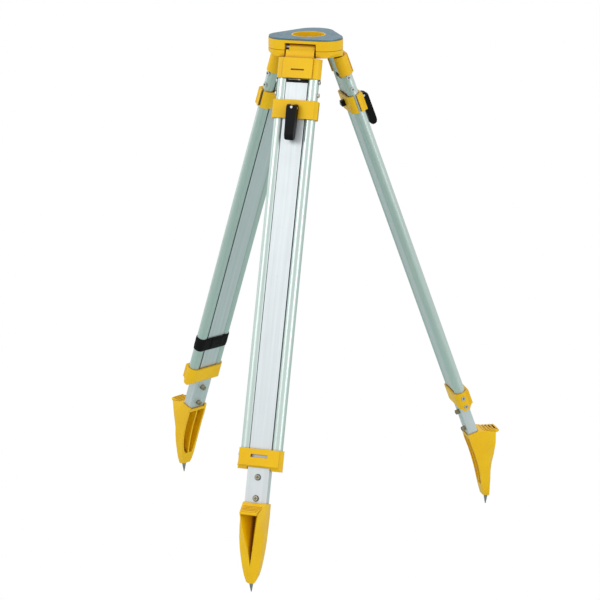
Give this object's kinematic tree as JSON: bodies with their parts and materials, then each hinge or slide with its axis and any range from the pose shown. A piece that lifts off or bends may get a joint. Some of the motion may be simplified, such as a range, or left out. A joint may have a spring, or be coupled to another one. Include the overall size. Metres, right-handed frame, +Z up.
{
  "type": "surveyor tripod",
  "caption": "Aluminium builder's tripod with a yellow rounded-triangle head, flat two-rail legs that telescope, cam-lever clamps, pointed feet with foot plates and a central clamp screw.",
  "frame": {"origin": "centre of the head's flat top face, on the axis of the central hole and clamp screw", "axes": "+Z up out of the head, -Y towards the first leg, the other two legs at 30 and 150 degrees from +X"},
  "size_m": [0.7538, 0.6528, 1.0549],
  "materials": {
    "plate_metal": "satin",
    "yellow_casting": "semi-gloss",
    "leg_aluminium": "satin anodised",
    "panel_aluminium": "fine satin anodised",
    "plated_steel": "bright plated",
    "dark_steel": "blackened",
    "arm_steel": "satin",
    "spike_steel": "ground",
    "brass": "machined",
    "screw_brass": "dull plated",
    "black_plastic": "matte",
    "black_rubber": "matte"
  },
  "bodies": {
    "head": {"top_plate": "plate_metal", "head_upper": "yellow_casting", "head_lower": "yellow_casting", "hinge_pins": "plated_steel", "head_screws": "dark_steel", "arm_bolt": "dark_steel"},
    "screw_arm": {"screw_arm": "arm_steel"},
    "screw_bush": {"screw_bush": "brass"},
    "lift_ring": {"lift_ring": "plated_steel"},
    "clamp_screw": {"clamp_screw": "plated_steel", "knob": "black_plastic"},
    "leg_a": {"casting_a": "yellow_casting", "hinge_block_a": "leg_aluminium", "rails_a": "leg_aluminium", "rail_bolts_a": "plated_steel", "collar_a": "yellow_casting"},
    "slider_a": {"inner_leg_a": "panel_aluminium", "end_plug_a": "black_plastic", "foot_a": "yellow_casting", "foot_screws_a": "screw_brass", "spike_a": "spike_steel", "jaw_outer_a": "yellow_casting", "jaw_inner_a": "yellow_casting", "clamp_bolt_a": "plated_steel", "clamp_nut_a": "black_plastic"},
    "lever_a": {"lever_a": "black_plastic", "lever_pin_a": "plated_steel"},
    "leg_b": {"casting_b": "yellow_casting", "hinge_block_b": "leg_aluminium", "rails_b": "leg_aluminium", "rail_bolts_b": "plated_steel", "collar_b": "yellow_casting"},
    "slider_b": {"inner_leg_b": "panel_aluminium", "end_plug_b": "black_plastic", "foot_b": "yellow_casting", "foot_screws_b": "screw_brass", "spike_b": "spike_steel", "jaw_outer_b": "yellow_casting", "jaw_inner_b": "yellow_casting", "clamp_bolt_b": "plated_steel", "clamp_nut_b": "black_plastic"},
    "lever_b": {"lever_b": "black_plastic", "lever_pin_b": "plated_steel"},
    "leg_c": {"casting_c": "yellow_casting", "hinge_block_c": "leg_aluminium", "rails_c": "leg_aluminium", "rail_bolts_c": "plated_steel", "collar_c": "yellow_casting", "strap": "black_rubber"},
    "slider_c": {"inner_leg_c": "panel_aluminium", "end_plug_c": "black_plastic", "foot_c": "yellow_casting", "foot_screws_c": "screw_brass", "spike_c": "spike_steel", "jaw_outer_c": "yellow_casting", "jaw_inner_c": "yellow_casting", "clamp_bolt_c": "plated_steel", "clamp_nut_c": "black_plastic"},
    "lever_c": {"lever_c": "black_plastic", "lever_pin_c": "plated_steel"}
  },
  "joints": [
    {"name": "leg_fold_a", "type": "hinge", "parent": "head", "child": "leg_a", "pos_m": [0, -0.0486, -0.019], "axis": [1, 0, 0], "range_deg": [-12, 20.2]},
    {"name": "leg_extend_a", "type": "slide", "parent": "leg_a", "child": "slider_a", "axis": [0, -0.3453, -0.9385], "range_m": [0, 0.58]},
    {"name": "lever_open_a", "type": "hinge", "parent": "slider_a", "child": "lever_a", "pos_m": [0, -0.11505, -0.13009], "axis": [-1, 0, 0], "range_deg": [0, 110]},
    {"name": "leg_fold_b", "type": "hinge", "parent": "head", "child": "leg_b", "pos_m": [0.04209, 0.0243, -0.019], "axis": [-0.5, 0.866, 0], "range_deg": [-12, 20.2]},
    {"name": "leg_extend_b", "type": "slide", "parent": "leg_b", "child": "slider_b", "axis": [0.299, 0.1726, -0.9385], "range_m": [0, 0.58]},
    {"name": "lever_open_b", "type": "hinge", "parent": "slider_b", "child": "lever_b", "pos_m": [0.09963, 0.05752, -0.13009], "axis": [0.5, -0.866, 0], "range_deg": [0, 110]},
    {"name": "leg_fold_c", "type": "hinge", "parent": "head", "child": "leg_c", "pos_m": [-0.04209, 0.0243, -0.019], "axis": [-0.5, -0.866, 0], "range_deg": [-12, 20.2]},
    {"name": "leg_extend_c", "type": "slide", "parent": "leg_c", "child": "slider_c", "axis": [-0.299, 0.1726, -0.9385], "range_m": [0, 0.58]},
    {"name": "lever_open_c", "type": "hinge", "parent": "slider_c", "child": "lever_c", "pos_m": [-0.09963, 0.05752, -0.13009], "axis": [0.5, 0.866, 0], "range_deg": [0, 110]},
    {"name": "arm_swing", "type": "hinge", "parent": "head", "child": "screw_arm", "pos_m": [0, 0.06, -0.0404], "axis": [0, 0, 1], "range_deg": [-10, 10]},
    {"name": "bush_slide", "type": "slide", "parent": "screw_arm", "child": "screw_bush", "axis": [0, 1, 0], "range_m": [-0.008, 0.008]},
    {"name": "screw_lift", "type": "slide", "parent": "screw_bush", "child": "lift_ring", "axis": [0, 0, 1], "range_m": [0, 0.018]},
    {"name": "screw_turn", "type": "hinge", "parent": "lift_ring", "child": "clamp_screw", "pos_m": [0, 0, -0.065], "axis": [0, 0, 1], "continuous": true}
  ]
}
